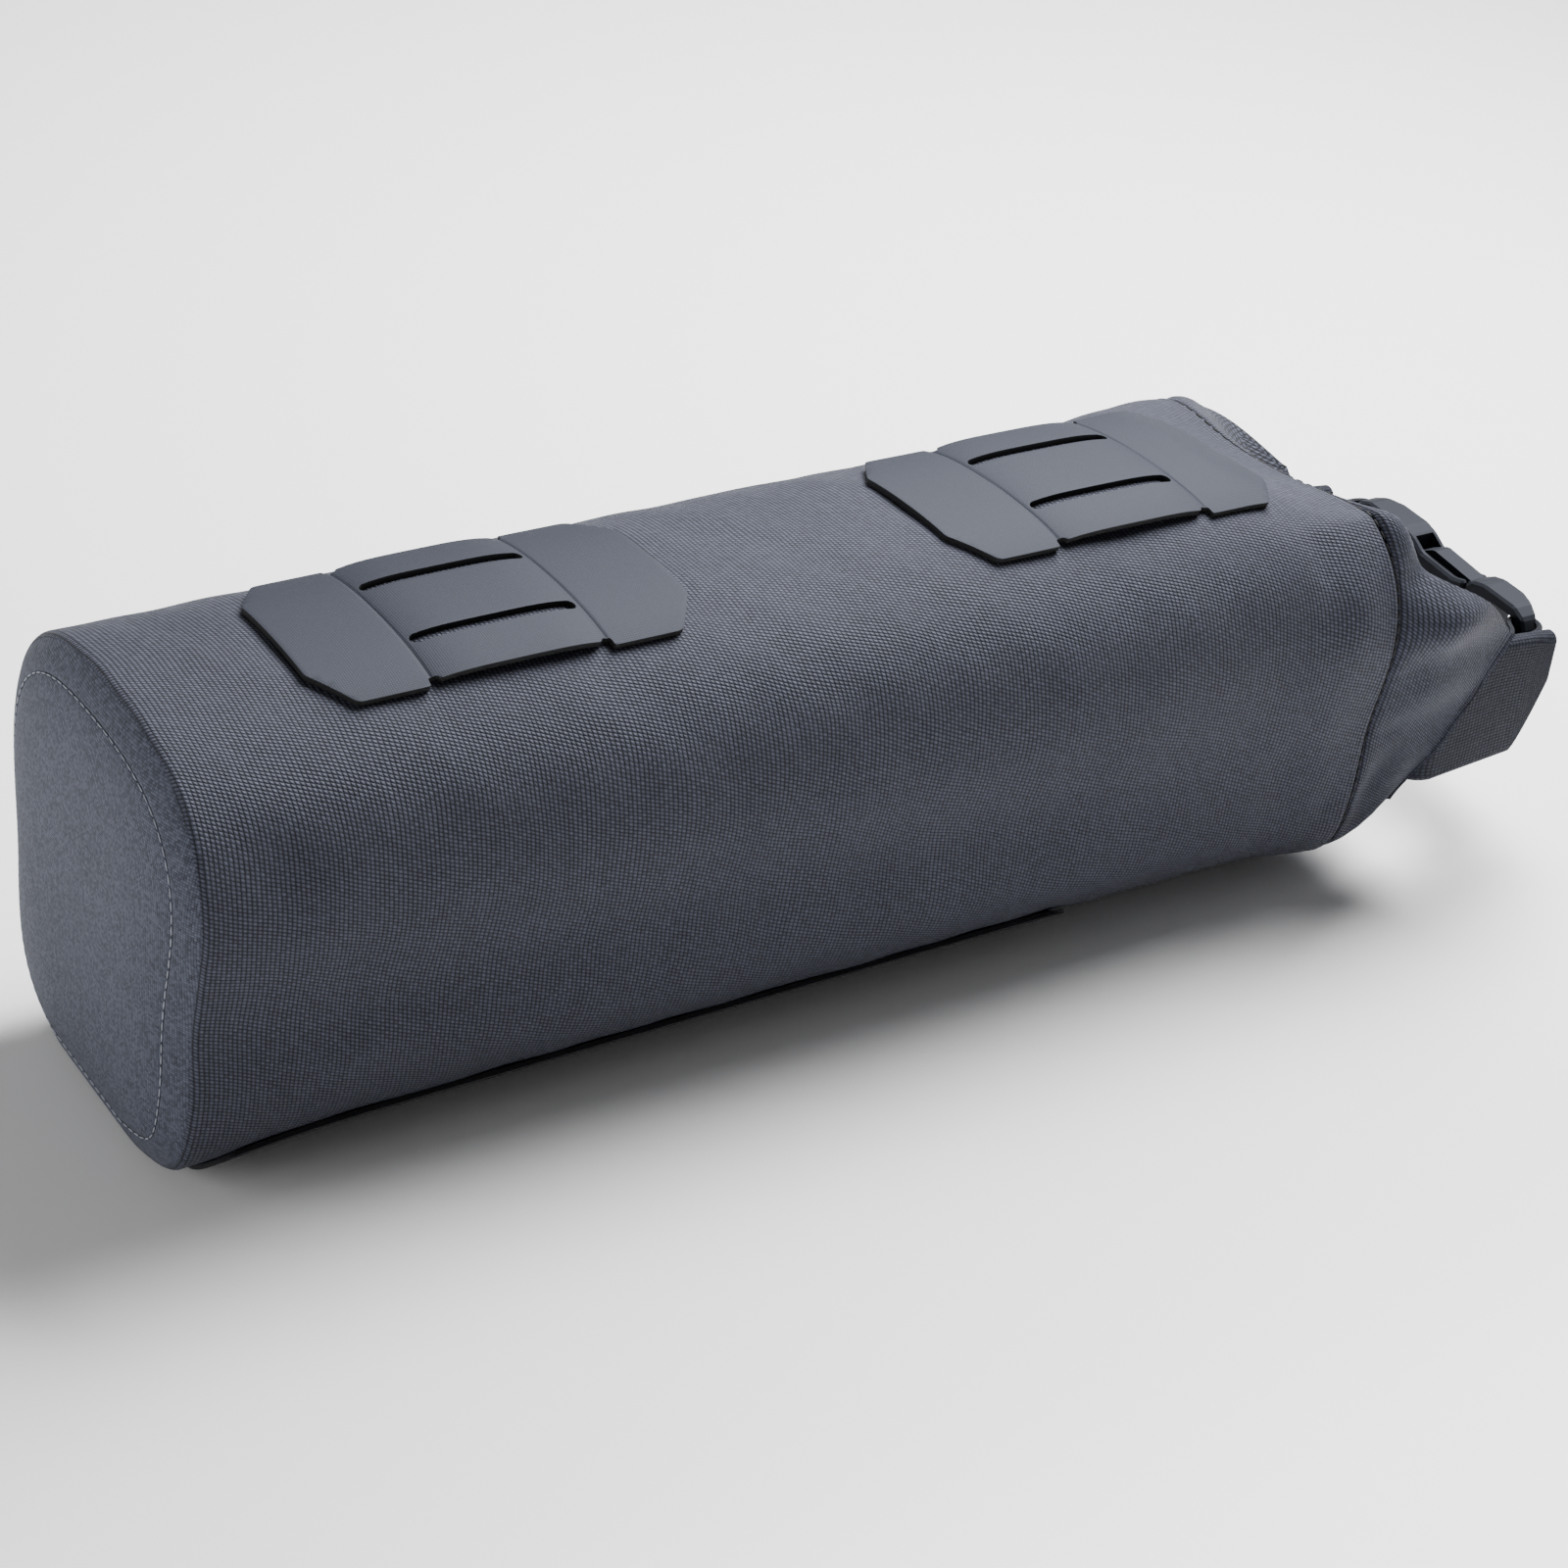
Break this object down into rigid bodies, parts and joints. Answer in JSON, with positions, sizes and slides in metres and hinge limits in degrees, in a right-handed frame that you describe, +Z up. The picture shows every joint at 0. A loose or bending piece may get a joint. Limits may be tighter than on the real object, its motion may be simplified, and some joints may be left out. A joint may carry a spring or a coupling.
{
  "type": "downtube bag",
  "caption": "Roll-top fabric tube bag for a bicycle frame, with a flat end, slotted fastening plates on top, a smooth underside panel and a rolled, buckled closure.",
  "frame": {"origin": "centre of the whole bag's box at its base, on the plane that the underside panel rests on", "axes": "+X from the flat end to the rolled closure, +Y across to the side turned away from the picture, +Z up through the fastening plates"},
  "size_m": [0.3464, 0.0894, 0.1023],
  "materials": {
    "coated_cloth": "matte coated weave, slate grey",
    "end_cloth": "matte fine weave over a stiff insert, slate grey",
    "plate_laminate": "finely ribbed matte laminate, slate grey",
    "panel_laminate": "smooth matte, near black",
    "webbing": "woven tape, black",
    "buckle_plastic": "fine-grained satin plastic, grey"
  },
  "bodies": {
    "root": {"body_tube": "coated_cloth", "end_disc": "end_cloth", "underside_panel": "panel_laminate", "mount_plate_rear": "plate_laminate", "mount_plate_front": "plate_laminate", "collar": "coated_cloth", "closure_roll": "coated_cloth", "webbing_near": "webbing", "webbing_far": "webbing", "buckle_socket": "buckle_plastic", "buckle_plug": "buckle_plastic"}
  },
  "joints": []
}
